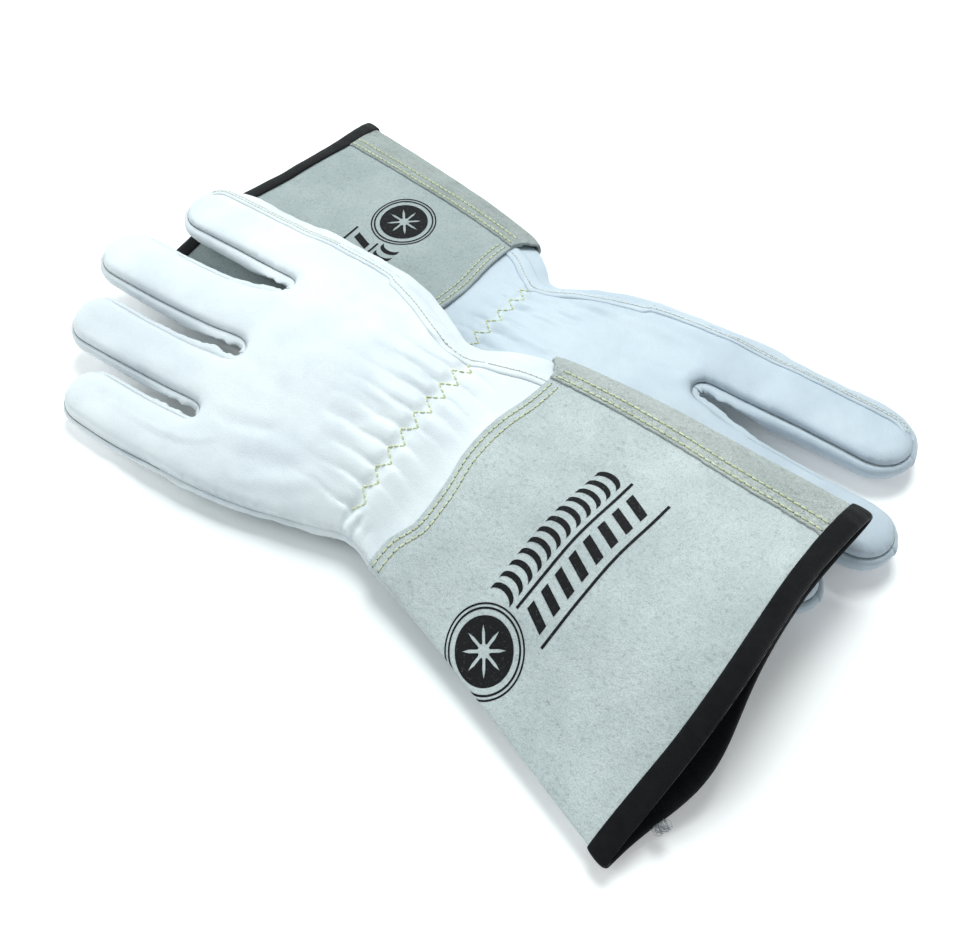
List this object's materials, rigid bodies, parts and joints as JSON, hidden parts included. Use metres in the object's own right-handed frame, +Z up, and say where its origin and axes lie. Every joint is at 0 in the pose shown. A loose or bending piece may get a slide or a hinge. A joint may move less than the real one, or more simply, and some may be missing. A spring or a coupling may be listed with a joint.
{
  "type": "pair of welding gauntlet gloves",
  "caption": "Pair of leather welding gauntlets, the left lying across the right, with gathered wrists, walled fingers and flared bound suede cuffs.",
  "frame": {"origin": "centre of the pair's footprint, on the surface that it lies on", "axes": "+X from the left glove's fingertips towards its cuff, which is the longest extent; +Y towards the index fingers' side; +Z up"},
  "size_m": [0.3495, 0.2415, 0.0432],
  "materials": {
    "grain_leather": "smooth white grain leather, soft satin",
    "cuff_suede": "pale grey-green split suede, matt nap",
    "binding_tape": "black woven binding tape",
    "elastic": "woven elastic band",
    "thread": "cream-yellow twisted sewing thread",
    "print_ink": "flat black printed ink"
  },
  "bodies": {
    "right_glove": {"right_back_panel": "grain_leather", "right_palm_panel": "grain_leather", "right_thumb_back": "grain_leather", "right_thumb_front": "grain_leather", "right_wrist_elastic": "elastic", "right_wrist_stitching": "thread", "right_middle_back": "grain_leather", "right_middle_front": "grain_leather", "right_middle_outer_wall": "grain_leather", "right_middle_inner_wall": "grain_leather", "right_ring_back": "grain_leather", "right_ring_front": "grain_leather", "right_ring_outer_wall": "grain_leather", "right_ring_inner_wall": "grain_leather", "right_little_back": "grain_leather", "right_little_front": "grain_leather", "right_little_outer_wall": "grain_leather", "right_cuff_back_panel": "cuff_suede", "right_cuff_palm_panel": "cuff_suede", "right_cuff_binding": "binding_tape", "right_cuff_front_stitching": "thread", "right_cuff_side_stitching": "thread", "right_cuff_print": "print_ink"},
    "right_index": {"right_index_back": "grain_leather", "right_index_front": "grain_leather", "right_index_inner_wall": "grain_leather"},
    "left_hand": {"left_back_panel": "grain_leather", "left_palm_panel": "grain_leather", "left_thumb_back": "grain_leather", "left_thumb_front": "grain_leather", "left_wrist_elastic": "elastic", "left_wrist_stitching": "thread"},
    "left_cuff": {"left_cuff_back_panel": "cuff_suede", "left_cuff_palm_panel": "cuff_suede", "left_cuff_binding": "binding_tape", "left_cuff_front_stitching": "thread", "left_cuff_side_stitching": "thread", "left_cuff_print": "print_ink"},
    "left_index": {"left_index_back": "grain_leather", "left_index_front": "grain_leather", "left_index_inner_wall": "grain_leather"},
    "left_middle": {"left_middle_back": "grain_leather", "left_middle_front": "grain_leather", "left_middle_outer_wall": "grain_leather", "left_middle_inner_wall": "grain_leather"},
    "left_ring": {"left_ring_back": "grain_leather", "left_ring_front": "grain_leather", "left_ring_outer_wall": "grain_leather", "left_ring_inner_wall": "grain_leather"},
    "left_little": {"left_little_back": "grain_leather", "left_little_front": "grain_leather", "left_little_outer_wall": "grain_leather"}
  },
  "joints": [
    {"name": "left_lift_off", "type": "slide", "parent": "right_glove", "child": "left_hand", "axis": [0, 0, 1], "range_m": [0, 0.15]},
    {"name": "left_cuff_fold", "type": "hinge", "parent": "left_hand", "child": "left_cuff", "pos_m": [0.0386, -0.0222, 0.0399], "axis": [0, -0.9889, -0.1483], "range_deg": [0, 45]},
    {"name": "left_index_bend", "type": "hinge", "parent": "left_hand", "child": "left_index", "pos_m": [-0.08237, 0.00286, 0.0417], "axis": [-0.1701, 0.9742, 0.1484], "range_deg": [0, 50]},
    {"name": "left_middle_bend", "type": "hinge", "parent": "left_hand", "child": "left_middle", "pos_m": [-0.07541, -0.03704, 0.0401], "axis": [-0.1701, 0.9742, 0.1484], "range_deg": [0, 50]},
    {"name": "left_ring_bend", "type": "hinge", "parent": "left_hand", "child": "left_ring", "pos_m": [-0.06982, -0.06905, 0.0311], "axis": [-0.1701, 0.9742, 0.1484], "range_deg": [0, 50]},
    {"name": "left_little_bend", "type": "hinge", "parent": "left_hand", "child": "left_little", "pos_m": [-0.06483, -0.09762, 0.0223], "axis": [-0.1701, 0.9742, 0.1484], "range_deg": [0, 50]},
    {"name": "right_index_bend", "type": "hinge", "parent": "right_glove", "child": "right_index", "pos_m": [0.06925, 0.0909, 0.0216], "axis": [0.1167, -0.9932, 0], "range_deg": [0, 50]}
  ]
}
